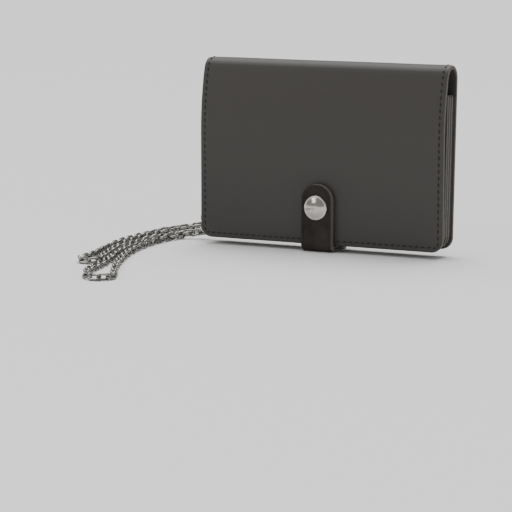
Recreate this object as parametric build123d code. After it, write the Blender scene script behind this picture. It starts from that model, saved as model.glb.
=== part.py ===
"""Chain wallet: a flap-over leather wallet with a press-stud strap and a belt chain.

Frame: millimetres, +Z up, front of the wallet towards -Y, +X to the right as
seen from the front. The origin is the middle of the strap's underside, which
is what the wallet stands on. The rear cover leans back by BACK_LEAN, and all
that is sewn to it is drawn upright against the plane y = 0 and then leaned.
"""
from build123d import *

import os
from math import atan2, cos, degrees, pi, radians, sin, sqrt, tan

# ---- cover -----------------------------------------------------------------
COVER_WIDTH = 132.0
COVER_HEIGHT = 91.0
FRONT_FACE = 7.9          # front cover's outer face, in front of the origin
FOLD_RADIUS = 7.2         # outside of the fold along the top
FOLD_BACK = 3.15          # fold's centre, behind the origin
FRONT_LEAN = 15.0         # how far the front cover has curved back at the fold
BACK_LEAN = 2.5
CORNER_RADIUS = 6.0
LEATHER = 1.2
LINING = 0.75
GLUE = 0.05               # film of glue between two plies
SPINE_STRIPS = 4
STRIP_GAP = 0.5           # degrees of the fold left free at each end of a strip
THREAD_WIDTH = 0.55
THREAD_HEIGHT = 0.25
SEAM_INSET = 2.4

# ---- inside ----------------------------------------------------------------
LEAF_INSET = 0.8          # leaves stop this far inside the cover's side edges
LEAF_DROP = 15.0          # leaves stop this far short of the cover's height, clear of the fold
LEAF_HEIGHT = COVER_HEIGHT - LEAF_DROP
LEAF_FOOT = 0.6           # leaves start this far above the cover's bottom edge
LEAF = 1.2
LEAF_GAP = 1.6            # pocket between two leaves
REAR_GAP = 2.0            # pocket between the rear leaf and the rear lining
GUSSET = 0.5
GUSSET_DEPTH = 9.0
GUSSET_CLEAR = 0.05
POCKET_FOLD = 3.0         # height of the folded strip that closes a pocket
SLOT_PLY = 0.55
SLOT_INSET = 4.0
SLOT_DROPS = {"card_slot_rear": 41.0, "card_slot_front": 53.0}  # short of the cover's height

# ---- strap and press stud --------------------------------------------------
STRAP_WIDTH = 16.5
STRAP_OUTER = 1.6
STRAP_LINING = 1.35
STRAP_CUT = 0.1           # cut between the strap's base and its tab, where it bends open
STRAP_CLEAR = 0.4         # between the strap and the cover's front and bottom
STRAP_BEND = 1.2          # inside radius where the strap turns up the front
STRAP_BACK_BEND = 0.45    # inside radius where it turns down the back
STRAP_TOP = 34.0
STRAP_BACK_HEIGHT = 26.0
STRAP_SEAM_INSET = 1.45
STUD_HEIGHT = 22.4
CAP_RADIUS = 6.2
CAP_RISE = 1.9
CAP_RIM = 0.5
POST_RADIUS = 1.2
POST_CLEAR = 0.08
SOCKET_RADIUS = 5.0
SOCKET_CLEAR = 0.08
SOCKET_FLOOR = 0.35
STUD_RADIUS = 1.9
STUD_FLANGE_RADIUS = 4.0
STUD_FLANGE = 0.28
STUD_HEAD = 0.75
STUD_PLAY = 0.4           # socket's bore over the stud's head, on the radius
RIVET_RADIUS = 4.0
RIVET_HEAD = 0.6
RIVET_SHANK = 1.1

# ---- ring at the left edge -------------------------------------------------
RING_HEIGHT = 7.6         # middle of the ring above the cover's bottom edge
RING_WIRE = 0.75
RING_BOW = 3.7            # radius of the bow, to the middle of its wire
RING_LEG = 0.8            # straight stretch between the bar and the bow
CHAPE_PLY = 0.7
CHAPE_LENGTH = 14.0
CHAPE_HEIGHT = 5.6
CHAPE_RUN = 0.05          # play of the ring's bar in its leather loop
CHAPE_FIT = 0.1           # gap round the loop's thinned tail in the lining
JUMP_RADIUS = 2.6
JUMP_WIRE = 0.55
JUMP_PLAY = 0.25

# ---- chain -----------------------------------------------------------------
CHAIN_DIAMETER = 4.0
CHAIN_GAP = 0.9           # between the chain and the ring or eye that its end link hooks into

# ---- belt hook -------------------------------------------------------------
HOOK_THICK = 3.0
HOOK_WIDTH = 12.0
HOOK_LENGTH = 22.0
HOOK_WALL = 2.6
BARREL_RADIUS = 2.0
BARREL_LENGTH = 5.0
EYE_RADIUS = 2.6
EYE_WIRE = 0.7
STEM_RADIUS = 1.0
STEM_RUN = 0.06
STEM_HEAD_RADIUS = 1.4    # head that keeps the stem in the barrel
STEM_HEAD = 0.8
STEM_BLIND = 1.0          # wall left between the stem's head and the bow
GATE_THICK = 1.2
GATE_WIDTH = 2.0
GATE_LENGTH = 11.0
GATE_CLEAR = 0.15
GATE_PIN = 0.6
GATE_RUN = 0.05

# ---- worked out from the sizes above ----------------------------------------
STRAP_THICK = STRAP_OUTER + GLUE + STRAP_LINING
COVER_THICK = LEATHER + GLUE + LINING
COVER_BOTTOM = STRAP_THICK + STRAP_CLEAR
FOLD_UP = COVER_BOTTOM + COVER_HEIGHT - FOLD_RADIUS
FRONT_Y = -FRONT_FACE
FRONT_END = 180.0 - FRONT_LEAN
BACK_END = -BACK_LEAN
SWEEP_Y = FOLD_BACK - FOLD_RADIUS * cos(radians(FRONT_LEAN)) - FRONT_Y
FRONT_SWEEP = SWEEP_Y / (1 - cos(radians(FRONT_LEAN)))
SWEEP_UP = FOLD_UP + (FOLD_RADIUS - FRONT_SWEEP) * sin(radians(FRONT_LEAN))
BACK_TOP_Y = FOLD_BACK + FOLD_RADIUS * cos(radians(BACK_LEAN))
BACK_TOP_Z = FOLD_UP - FOLD_RADIUS * sin(radians(BACK_LEAN))
BACK_LENGTH = (BACK_TOP_Z - COVER_BOTTOM) / cos(radians(BACK_LEAN))
BACK_FOOT_Y = BACK_TOP_Y - BACK_LENGTH * sin(radians(BACK_LEAN))
LEAN = Location((0, BACK_FOOT_Y, COVER_BOTTOM), (-BACK_LEAN, 0, 0))
LEAF_WIDTH = COVER_WIDTH - 2 * LEAF_INSET
LEAF_DEPTHS = [COVER_THICK + REAR_GAP + i * (LEAF + LEAF_GAP) for i in range(3)]

RING_BAR_X = -COVER_WIDTH / 2 - CHAPE_PLY - RING_WIRE - CHAPE_RUN - 0.1
RING_DEPTH = LEATHER + GLUE + LINING / 2
JUMP_X = RING_BAR_X - RING_WIRE - CHAPE_PLY - CHAPE_RUN - JUMP_WIRE - 0.25

# The chain leaves the jump ring, runs out to the front, and is folded back on
# itself three times, so that it ends behind the wallet at the belt hook.
CHAIN_RUNS = {
    "chain_run_1": [
        (-76.6, 3.4, 3.0), (-81.8, -2.6, 2.0), (-84.4, -13.0, 2.0), (-85.0, -29.0, 2.0),
        (-82.0, -50.0, 2.0),
    ],
    "chain_run_2": [
        (-75.4, -72.5, 2.0), (-66.6, -95.0, 2.0), (-58.9, -111.0, 2.0), (-53.2, -121.0, 2.0),
        (-50.4, -129.6, 2.0), (-58.0, -134.4, 2.0), (-64.6, -128.0, 2.0), (-69.0, -118.4, 2.0),
        (-71.6, -104.0, 2.0), (-74.6, -90.0, 2.0), (-80.2, -73.0, 2.0),
    ],
    "chain_run_3": [
        (-86.8, -50.5, 2.0), (-89.7, -29.0, 2.0), (-89.0, -11.0, 2.0), (-86.4, 3.0, 2.0),
        (-81.6, 15.0, 2.0), (-74.0, 25.0, 2.0), (-64.4, 30.6, 2.0), (-55.4, 32.0, 2.0),
        (-54.0, 40.6, 2.0), (-63.6, 42.2, 2.0), (-76.8, 38.8, 2.0), (-87.4, 28.8, 2.0),
        (-93.4, 14.0, 2.0), (-94.8, -6.0, 2.0), (-94.5, -29.2, 2.0),
    ],
    "chain_run_4": [
        (-91.7, -51.6, 2.0), (-86.0, -70.4, 2.0), (-82.2, -81.6, 2.0), (-80.0, -89.4, 2.0),
        (-83.9, -93.0, 2.0), (-89.6, -91.0, 2.0), (-90.4, -82.0, 2.0), (-92.4, -68.0, 2.0),
        (-96.6, -52.6, 2.0), (-99.6, -29.4, 2.0), (-99.8, -6.0, 2.0), (-98.6, 12.0, 2.0),
        (-93.0, 31.0, 2.0), (-82.0, 45.0, 2.0), (-68.0, 53.2, 2.0),
    ],
}
CHAIN_START = (JUMP_X - JUMP_WIRE - CHAIN_GAP, 4.4, 3.9)
CHAIN_END = (-54.0, 55.0, 2.0)


def polar(centre, radius, angle):
    """Point in the YZ plane, at an angle from +Y towards +Z."""
    return (centre[0] + radius * cos(radians(angle)), centre[1] + radius * sin(radians(angle)))


def arc_between(centre, radius, a0, a1):
    return ThreePointArc(
        polar(centre, radius, a0), polar(centre, radius, (a0 + a1) / 2), polar(centre, radius, a1))


def ring_sector(centre, outer, inner, a0, a1):
    """Face in the YZ plane of a bent sheet."""
    edges = [
        arc_between(centre, outer, a0, a1),
        Line(polar(centre, outer, a1), polar(centre, inner, a1)),
        arc_between(centre, inner, a1, a0),
        Line(polar(centre, inner, a0), polar(centre, outer, a0)),
    ]
    return make_face(Curve() + edges)


def along_x(face, x0, x1):
    """Push a face drawn in (y, z) through from x0 to x1."""
    return Plane.YZ.offset(x0) * extrude(face, amount=x1 - x0)


def front_profile(outer, inner, low, high_share=1.0):
    """Front cover's side view between two depths below its outer face."""
    centre = (FRONT_Y + FRONT_SWEEP, SWEEP_UP)
    end = 180.0 - FRONT_LEAN * high_share
    r_out = FRONT_SWEEP - outer
    r_in = FRONT_SWEEP - inner
    edges = [
        Line((FRONT_Y + outer, low), (FRONT_Y + outer, SWEEP_UP)),
        arc_between(centre, r_out, 180.0, end),
        Line(polar(centre, r_out, end), polar(centre, r_in, end)),
        arc_between(centre, r_in, end, 180.0),
        Line((FRONT_Y + inner, SWEEP_UP), (FRONT_Y + inner, low)),
        Line((FRONT_Y + inner, low), (FRONT_Y + outer, low)),
    ]
    return make_face(Curve() + edges)


def sheet(width, low, high, depth, thick, corner):
    """Upright sheet with round bottom corners, its rear face at y = -depth."""
    outline = Pos(0, (low + high) / 2) * Rectangle(width, high - low)
    if corner > 0:
        outline = fillet(outline.vertices().group_by(Axis.Y)[0], corner)
    return Plane.XZ.offset(depth) * extrude(outline, amount=thick)


def corner_mask(width, low, high, corner):
    """Block that gives a curved cover the same round corners as a flat sheet."""
    return Pos(0, 60, 0) * sheet(width, low, high, 0, 120, corner)


def rod(radius, start, end):
    """Round bar between two points."""
    axis = Vector(*end) - Vector(*start)
    return Plane(origin=start, z_dir=axis) * extrude(Circle(radius), amount=axis.length)


def disc(radius, y0, y1, height):
    """Disc about the press stud's axis, from y0 back to y1."""
    return rod(radius, (0, y0, height), (0, y1, height))


# ---- cover -------------------------------------------------------------------
def front_cover():
    shell = along_x(front_profile(0, LEATHER, COVER_BOTTOM), -COVER_WIDTH / 2, COVER_WIDTH / 2)
    shell &= corner_mask(COVER_WIDTH, COVER_BOTTOM, FOLD_UP + FOLD_RADIUS, CORNER_RADIUS)
    hole = disc(RIVET_SHANK + POST_CLEAR, FRONT_Y - 1, FRONT_Y + LEATHER + 1, STUD_HEIGHT)
    return shell - hole


def front_lining():
    inner = COVER_THICK
    shell = along_x(front_profile(LEATHER + GLUE, inner, COVER_BOTTOM), -COVER_WIDTH / 2, COVER_WIDTH / 2)
    shell &= corner_mask(COVER_WIDTH, COVER_BOTTOM, FOLD_UP + FOLD_RADIUS, CORNER_RADIUS)
    hole = disc(RIVET_RADIUS + POST_CLEAR, FRONT_Y, FRONT_Y + inner + 1, STUD_HEIGHT)
    return shell - hole


def spine_strip(index, outer, inner):
    """One strip of the bent spine, between two depths below the outer face."""
    step = (FRONT_END - BACK_END) / SPINE_STRIPS
    a0 = BACK_END + index * step + STRIP_GAP
    a1 = BACK_END + (index + 1) * step - STRIP_GAP
    face = ring_sector((FOLD_BACK, FOLD_UP), FOLD_RADIUS - outer, FOLD_RADIUS - inner, a0, a1)
    return along_x(face, -COVER_WIDTH / 2, COVER_WIDTH / 2)


def front_seam():
    """Thread down both sides of the front cover and along its bottom edge."""
    side = front_profile(-THREAD_HEIGHT, 0, COVER_BOTTOM + SEAM_INSET, 0.98)
    seam_x = COVER_WIDTH / 2 - SEAM_INSET
    seam = Part()
    for x in (-seam_x, seam_x):
        seam += along_x(side, x - THREAD_WIDTH / 2, x + THREAD_WIDTH / 2)
    half_strap = STRAP_WIDTH / 2 + SEAM_INSET
    for x0, x1 in ((-seam_x, -half_strap), (half_strap, seam_x)):
        seam += Pos((x0 + x1) / 2, FRONT_Y - THREAD_HEIGHT / 2, COVER_BOTTOM + SEAM_INSET) * Box(
            x1 - x0, THREAD_HEIGHT, THREAD_WIDTH)
    return seam


def back_cover():
    return LEAN * sheet(COVER_WIDTH, 0, BACK_LENGTH, 0, LEATHER, CORNER_RADIUS)


def back_lining():
    """Rear lining, cut away where the ring's leather loop is sewn in."""
    ply = sheet(COVER_WIDTH, 0, BACK_LENGTH, LEATHER + GLUE, LINING, CORNER_RADIUS)
    notch = Pos(-COVER_WIDTH / 2, -RING_DEPTH, RING_HEIGHT) * Box(
        2 * (CHAPE_LENGTH + CHAPE_FIT), 4 * LINING, CHAPE_HEIGHT + 2 * CHAPE_FIT)
    return LEAN * (ply - notch)


def back_seam():
    """Thread down both sides of the rear cover and along its bottom edge."""
    seam_x = COVER_WIDTH / 2 - SEAM_INSET
    behind = THREAD_HEIGHT / 2
    seam = Part()
    for x in (-seam_x, seam_x):
        seam += Pos(x, behind, (SEAM_INSET + BACK_LENGTH) / 2) * Box(
            THREAD_WIDTH, THREAD_HEIGHT, BACK_LENGTH - SEAM_INSET - 1)
    half_strap = STRAP_WIDTH / 2 + SEAM_INSET
    for x0, x1 in ((-seam_x, -half_strap), (half_strap, seam_x)):
        seam += Pos((x0 + x1) / 2, behind, SEAM_INSET + 0.5) * Box(x1 - x0, THREAD_HEIGHT, THREAD_WIDTH)
    return LEAN * seam


# ---- inside ------------------------------------------------------------------
def leaf(index):
    """Leather leaf, counted from the rear cover forwards."""
    return LEAN * sheet(LEAF_WIDTH, LEAF_FOOT, LEAF_HEIGHT, LEAF_DEPTHS[index], LEAF, CORNER_RADIUS)


def pocket_span(index):
    """Depths of the pocket behind leaf number index."""
    front = LEAF_DEPTHS[index]
    rear = LEAF_DEPTHS[index - 1] + LEAF if index else COVER_THICK
    return rear, front


def gusset(index, side):
    """Side strip of a pocket, folded inwards between the pocket's two leaves."""
    rear, front = pocket_span(index)
    rear += GUSSET_CLEAR
    front -= GUSSET_CLEAR
    outside = (front - rear) / 2
    middle = -(rear + front) / 2
    edge = LEAF_WIDTH / 2
    bend = edge - GUSSET_DEPTH
    outline = Pos((edge + bend) / 2, middle) * Rectangle(edge - bend, 2 * outside)
    outline += Pos(bend, middle) * Circle(outside)
    hollow = Pos((edge + bend) / 2 + 1, middle) * Rectangle(edge - bend + 2, 2 * (outside - GUSSET))
    hollow += Pos(bend, middle) * Circle(outside - GUSSET)
    low = LEAF_FOOT + CORNER_RADIUS
    strip = Pos(0, 0, low) * extrude(outline - hollow, amount=LEAF_HEIGHT - low - 1)
    if side < 0:
        strip = mirror(strip, about=Plane.YZ)
    return LEAN * strip


def pocket_floor(index):
    """Folded strip that closes the bottom of a pocket."""
    rear, front = pocket_span(index)
    width = LEAF_WIDTH - 2 * CORNER_RADIUS
    depth = front - rear - 2 * GUSSET_CLEAR
    strip = Pos(0, -(rear + front) / 2, LEAF_FOOT + 1 + POCKET_FOLD / 2) * Box(width, depth, POCKET_FOLD)
    return LEAN * strip


def card_slot(index, height):
    """Card slot sewn to the inside of the front cover."""
    depth = COVER_THICK + GLUE + index * (SLOT_PLY + GLUE)
    width = COVER_WIDTH - 2 * SLOT_INSET
    low = COVER_BOTTOM + SEAM_INSET
    slot = sheet(width, low, low + height, -FRONT_Y - depth - SLOT_PLY, SLOT_PLY, CORNER_RADIUS / 2)
    return slot


# ---- strap and press stud ----------------------------------------------------
STRAP_FRONT_Y = FRONT_Y - STRAP_CLEAR
BEND_FRONT = (STRAP_FRONT_Y + STRAP_BEND, STRAP_THICK + STRAP_BEND)
BEND_BACK = (
    BACK_FOOT_Y + GLUE - STRAP_BACK_BEND * cos(radians(BACK_LEAN)),
    STRAP_THICK + STRAP_BACK_BEND,
)


def strap_base_ply(deep, shallow):
    """Strap from the rear cover, round the bottom, to the end of the front bend."""
    outer, inner = STRAP_BEND + deep, STRAP_BEND + shallow
    back_outer, back_inner = STRAP_BACK_BEND + deep, STRAP_BACK_BEND + shallow
    lean = -BACK_LEAN
    rise_y = STRAP_BACK_HEIGHT * sin(radians(BACK_LEAN))
    rise_z = STRAP_BACK_HEIGHT * cos(radians(BACK_LEAN))
    foot_outer = polar(BEND_BACK, back_outer, lean)
    foot_inner = polar(BEND_BACK, back_inner, lean)
    top_outer = (foot_outer[0] + rise_y, foot_outer[1] + rise_z)
    top_inner = (foot_inner[0] + rise_y, foot_inner[1] + rise_z)
    edges = [
        Line(top_outer, foot_outer),
        arc_between(BEND_BACK, back_outer, lean, -90.0),
        Line(polar(BEND_BACK, back_outer, -90.0), polar(BEND_FRONT, outer, -90.0)),
        arc_between(BEND_FRONT, outer, -90.0, -180.0),
        Line(polar(BEND_FRONT, outer, -180.0), polar(BEND_FRONT, inner, -180.0)),
        arc_between(BEND_FRONT, inner, -180.0, -90.0),
        Line(polar(BEND_FRONT, inner, -90.0), polar(BEND_BACK, back_inner, -90.0)),
        arc_between(BEND_BACK, back_inner, -90.0, lean),
        Line(foot_inner, top_inner),
        Line(top_inner, top_outer),
    ]
    return along_x(make_face(Curve() + edges), -STRAP_WIDTH / 2, STRAP_WIDTH / 2)


def strap_tab_ply(deep, thick):
    """Strap up the front, with its round end; deep is measured from its rear face."""
    low = BEND_FRONT[1] + STRAP_CUT
    radius = STRAP_WIDTH / 2
    outline = Pos(0, (low + STRAP_TOP - radius) / 2) * Rectangle(STRAP_WIDTH, STRAP_TOP - radius - low)
    outline += Pos(0, STRAP_TOP - radius) * Circle(radius)
    return Plane.XZ.offset(-STRAP_FRONT_Y + deep) * extrude(outline, amount=thick)


def strap_tab_lining():
    ply = strap_tab_ply(0, STRAP_LINING)
    return ply - disc(SOCKET_RADIUS + SOCKET_CLEAR, FRONT_Y, FRONT_Y - 10, STUD_HEIGHT)


def strap_tab():
    ply = strap_tab_ply(STRAP_LINING + GLUE, STRAP_OUTER)
    return ply - disc(POST_RADIUS + POST_CLEAR, FRONT_Y, FRONT_Y - 20, STUD_HEIGHT)


def strap_tab_seam():
    """Thread round the strap's front, a step inside its edge."""
    low = BEND_FRONT[1] + 0.5
    radius = STRAP_WIDTH / 2 - STRAP_SEAM_INSET
    up = STRAP_TOP - STRAP_WIDTH / 2
    sketches = []
    for grow in (THREAD_WIDTH / 2, -THREAD_WIDTH / 2):
        face = Pos(0, (low + up) / 2) * Rectangle(2 * (radius + grow), up - low)
        sketches.append(face + Pos(0, up) * Circle(radius + grow))
    seam = Plane.XZ.offset(-STRAP_FRONT_Y + STRAP_THICK) * extrude(
        sketches[0] - sketches[1], amount=THREAD_HEIGHT)
    return seam


def strap_base_seam():
    """Box of stitches that holds the strap to the rear cover."""
    side = STRAP_WIDTH - 2 * STRAP_SEAM_INSET
    low = BEND_BACK[1] - COVER_BOTTOM + 2
    high = low + STRAP_BACK_HEIGHT - 4
    box = Pos(0, (low + high) / 2) * Rectangle(side + THREAD_WIDTH, high - low)
    hole = Pos(0, (low + high) / 2) * Rectangle(side - THREAD_WIDTH, high - low - 2 * THREAD_WIDTH)
    behind = STRAP_THICK + GLUE
    return LEAN * (Plane.XZ.offset(-behind - THREAD_HEIGHT) * extrude(box - hole, amount=THREAD_HEIGHT))


def snap_cap():
    """Domed cap with a post that goes through the strap's outer ply."""
    face_y = STRAP_FRONT_Y - STRAP_THICK
    rise = CAP_RISE - CAP_RIM
    ball = (CAP_RADIUS ** 2 + rise ** 2) / (2 * rise)
    profile = [
        Line((0, 0), (CAP_RADIUS, 0)),
        Line((CAP_RADIUS, 0), (CAP_RADIUS, CAP_RIM)),
        RadiusArc((CAP_RADIUS, CAP_RIM), (0, CAP_RISE), -ball),
        Line((0, CAP_RISE), (0, 0)),
    ]
    dome = revolve(make_face(Curve() + profile), Axis.Y)
    dome = Pos(0, face_y, STUD_HEIGHT) * (Rot(180, 0, 0) * dome)
    return dome + disc(POST_RADIUS, face_y, face_y + STRAP_OUTER, STUD_HEIGHT)


def snap_socket():
    """Spring socket set in the strap's lining, open towards the cover."""
    mouth = STRAP_FRONT_Y
    body = disc(SOCKET_RADIUS, mouth, mouth - STRAP_LINING, STUD_HEIGHT)
    return body - disc(STUD_RADIUS + STUD_PLAY, mouth + 1, mouth - STRAP_LINING + SOCKET_FLOOR, STUD_HEIGHT)


def snap_stud():
    """Stud on the front cover, hollow for the rivet's shank."""
    flange = disc(STUD_FLANGE_RADIUS, FRONT_Y, FRONT_Y - STUD_FLANGE, STUD_HEIGHT)
    tip = FRONT_Y - STUD_FLANGE - STUD_HEAD
    head = disc(STUD_RADIUS, FRONT_Y - STUD_FLANGE, tip, STUD_HEIGHT)
    head = chamfer(head.edges().filter_by(GeomType.CIRCLE).sort_by(Axis.Y)[0], 0.3)
    bore = disc(RIVET_SHANK + POST_CLEAR, FRONT_Y + 1, tip + 0.35, STUD_HEIGHT)
    return flange + head - bore


def snap_rivet():
    """Rivet from the lining side through the cover into the stud."""
    head_y = FRONT_Y + LEATHER + GLUE / 2
    head = disc(RIVET_RADIUS, head_y + RIVET_HEAD, head_y, STUD_HEIGHT)
    return head + disc(RIVET_SHANK, head_y, FRONT_Y - STUD_FLANGE - STUD_HEAD + 0.45, STUD_HEIGHT)


# ---- ring at the left edge ---------------------------------------------------
def ring_chape():
    """Leather loop that holds the ring's bar, with its tail inside the cover."""
    bore = RING_WIRE + CHAPE_RUN
    outer = bore + CHAPE_PLY
    tail_x = -COVER_WIDTH / 2 + CHAPE_LENGTH
    tail = Pos((tail_x + RING_BAR_X) / 2, -RING_DEPTH, RING_HEIGHT) * Box(
        tail_x - RING_BAR_X, LINING - GLUE, CHAPE_HEIGHT)
    low = RING_HEIGHT - CHAPE_HEIGHT / 2
    high = RING_HEIGHT + CHAPE_HEIGHT / 2
    loop = rod(outer, (RING_BAR_X, -RING_DEPTH, low), (RING_BAR_X, -RING_DEPTH, high))
    hole = rod(bore, (RING_BAR_X, -RING_DEPTH, low - 1), (RING_BAR_X, -RING_DEPTH, high + 1))
    return LEAN * (tail + loop - hole)


def d_ring():
    """D-shaped ring, its straight bar upright in the leather loop."""
    low = RING_HEIGHT - RING_BOW
    high = RING_HEIGHT + RING_BOW
    bow_x = RING_BAR_X - RING_LEG
    ring = rod(RING_WIRE, (RING_BAR_X, -RING_DEPTH, low), (RING_BAR_X, -RING_DEPTH, high))
    for z in (low, high):
        ring += rod(RING_WIRE, (RING_BAR_X, -RING_DEPTH, z), (bow_x, -RING_DEPTH, z))
        ring += Pos(RING_BAR_X, -RING_DEPTH, z) * Sphere(RING_WIRE)
    section = Pos(RING_BOW, 0) * Circle(RING_WIRE)
    bow = revolve(section, Axis.Y, 180)
    turned = Plane(origin=(bow_x, -RING_DEPTH, RING_HEIGHT), x_dir=(0, 0, -1), z_dir=(1, 0, 0))
    return LEAN * (ring + turned * bow)


def jump_centre():
    """Middle of the jump ring that hangs from the lower side of the bow."""
    across = JUMP_X - (RING_BAR_X - RING_LEG)
    drop = sqrt(RING_BOW ** 2 - across ** 2)
    wire = RING_HEIGHT - drop
    spot = LEAN * Location((JUMP_X, -RING_DEPTH, wire))
    hang = JUMP_RADIUS - JUMP_WIRE - RING_WIRE - JUMP_PLAY
    return (JUMP_X, spot.position.Y, spot.position.Z - hang)


def jump_ring():
    return Pos(*jump_centre()) * (Rot(0, 90, 0) * Torus(JUMP_RADIUS, JUMP_WIRE))


# ---- chain -------------------------------------------------------------------
def corner_radii(points):
    """Largest radius that each corner of a route has room for."""
    radii = []
    for before, here, after in zip(points, points[1:], points[2:]):
        run_in = Vector(*here) - Vector(*before)
        run_out = Vector(*after) - Vector(*here)
        half_turn = radians(run_in.get_angle(run_out)) / 2
        radii.append(0.45 * min(run_in.length, run_out.length) / tan(half_turn))
    return radii


def middle(a, b):
    return tuple((p + q) / 2 for p, q in zip(a, b))


def chain_routes():
    """Points of each run; two runs meet halfway along the straight between them."""
    names = list(CHAIN_RUNS)
    routes = {}
    for i, name in enumerate(names):
        points = CHAIN_RUNS[name]
        start = CHAIN_START if i == 0 else middle(CHAIN_RUNS[names[i - 1]][-1], points[0])
        end = CHAIN_END if i == len(names) - 1 else middle(points[-1], CHAIN_RUNS[names[i + 1]][0])
        routes[name] = [start] + points + [end]
    return routes


def chain_tube(name, points):
    """Plain tube along one run of the chain."""
    radii = corner_radii(points)
    print(name, "radii", [round(r, 1) for r in radii])
    path = FilletPolyline(*points, radius=radii)
    start = Plane(origin=path @ 0, z_dir=path % 0)
    tube = sweep(start * Circle(CHAIN_DIAMETER / 2), path=path)
    expected = pi * CHAIN_DIAMETER ** 2 / 4 * path.length
    print(name, "length", round(path.length, 1), "volume share", round(tube.volume / expected, 4))
    return tube


# ---- belt hook ---------------------------------------------------------------
HOOK_DIR = Vector(*CHAIN_END) - Vector(*CHAIN_RUNS["chain_run_4"][-1])
HOOK_TURN = degrees(atan2(HOOK_DIR.Y, HOOK_DIR.X))
HOOK_AT = Location(CHAIN_END, (0, 0, HOOK_TURN))
EYE_X = CHAIN_GAP + EYE_WIRE + EYE_RADIUS
BARREL_X = EYE_X + EYE_RADIUS + EYE_WIRE + 0.3
BOW_X = BARREL_X + BARREL_LENGTH
GATE_X = BOW_X + HOOK_WALL + 1.2
GATE_Y = HOOK_WIDTH / 2 - HOOK_WALL / 2
STEM_END = BOW_X - STEM_BLIND


def hook_eye():
    """Swivel eye that the chain's last link goes through, with its stem."""
    eye = Pos(EYE_X, 0, 0) * Torus(EYE_RADIUS, EYE_WIRE)
    stem = rod(STEM_RADIUS, (EYE_X + EYE_RADIUS, 0, 0), (STEM_END, 0, 0))
    head = rod(STEM_HEAD_RADIUS, (STEM_END - STEM_HEAD, 0, 0), (STEM_END, 0, 0))
    return HOOK_AT * (eye + stem + head)


def hook_body():
    """Barrel and bow of the hook, with a slot and ears for the gate."""
    barrel = rod(BARREL_RADIUS, (BARREL_X, 0, 0), (BOW_X + HOOK_WALL, 0, 0))
    round_end = HOOK_WIDTH / 2 - 0.01
    centre = BOW_X + HOOK_LENGTH / 2
    inner_length = HOOK_LENGTH - 2 * HOOK_WALL
    inner_width = HOOK_WIDTH - 2 * HOOK_WALL
    outline = Pos(centre, 0) * RectangleRounded(HOOK_LENGTH, HOOK_WIDTH, round_end)
    outline -= Pos(centre, 0) * RectangleRounded(inner_length, inner_width, inner_width / 2 - 0.01)
    body = Pos(0, 0, -HOOK_THICK / 2) * extrude(outline, amount=HOOK_THICK) + barrel
    mouth_low = GATE_X + 1.6
    mouth_high = GATE_X + GATE_LENGTH - 1.5
    body -= Pos((mouth_low + mouth_high) / 2, GATE_Y, 0) * Box(
        mouth_high - mouth_low, HOOK_WALL + 1, HOOK_THICK + 1)
    slot = GATE_THICK + 2 * GATE_CLEAR
    slot_low = GATE_X - GATE_WIDTH / 2 - 2 * GATE_CLEAR
    slot_high = GATE_X + GATE_LENGTH + GATE_CLEAR
    body -= Pos((slot_low + slot_high) / 2, GATE_Y - 0.5, 0) * Box(
        slot_high - slot_low, HOOK_WALL + 1.2, slot)
    body -= rod(GATE_PIN + GATE_RUN / 2, (GATE_X, GATE_Y, -HOOK_THICK), (GATE_X, GATE_Y, HOOK_THICK))
    bore_end = STEM_END + STEM_RUN
    body -= rod(STEM_RADIUS + STEM_RUN, (BARREL_X - 1, 0, 0), (bore_end, 0, 0))
    body -= rod(STEM_HEAD_RADIUS + STEM_RUN, (STEM_END - STEM_HEAD - STEM_RUN, 0, 0), (bore_end, 0, 0))
    return HOOK_AT * body


def hook_gate():
    """Gate that closes the hook's mouth and swings inwards."""
    round_end = GATE_WIDTH / 2
    outline = Pos(GATE_LENGTH / 2, 0) * Rectangle(GATE_LENGTH, GATE_WIDTH)
    outline += Circle(round_end)
    outline -= Circle(GATE_PIN + GATE_RUN)
    plate = Pos(GATE_X, GATE_Y, -GATE_THICK / 2) * extrude(outline, amount=GATE_THICK)
    return HOOK_AT * plate


def gate_pin():
    pin = rod(GATE_PIN, (GATE_X, GATE_Y, -HOOK_THICK / 2), (GATE_X, GATE_Y, HOOK_THICK / 2))
    return HOOK_AT * pin


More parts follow.
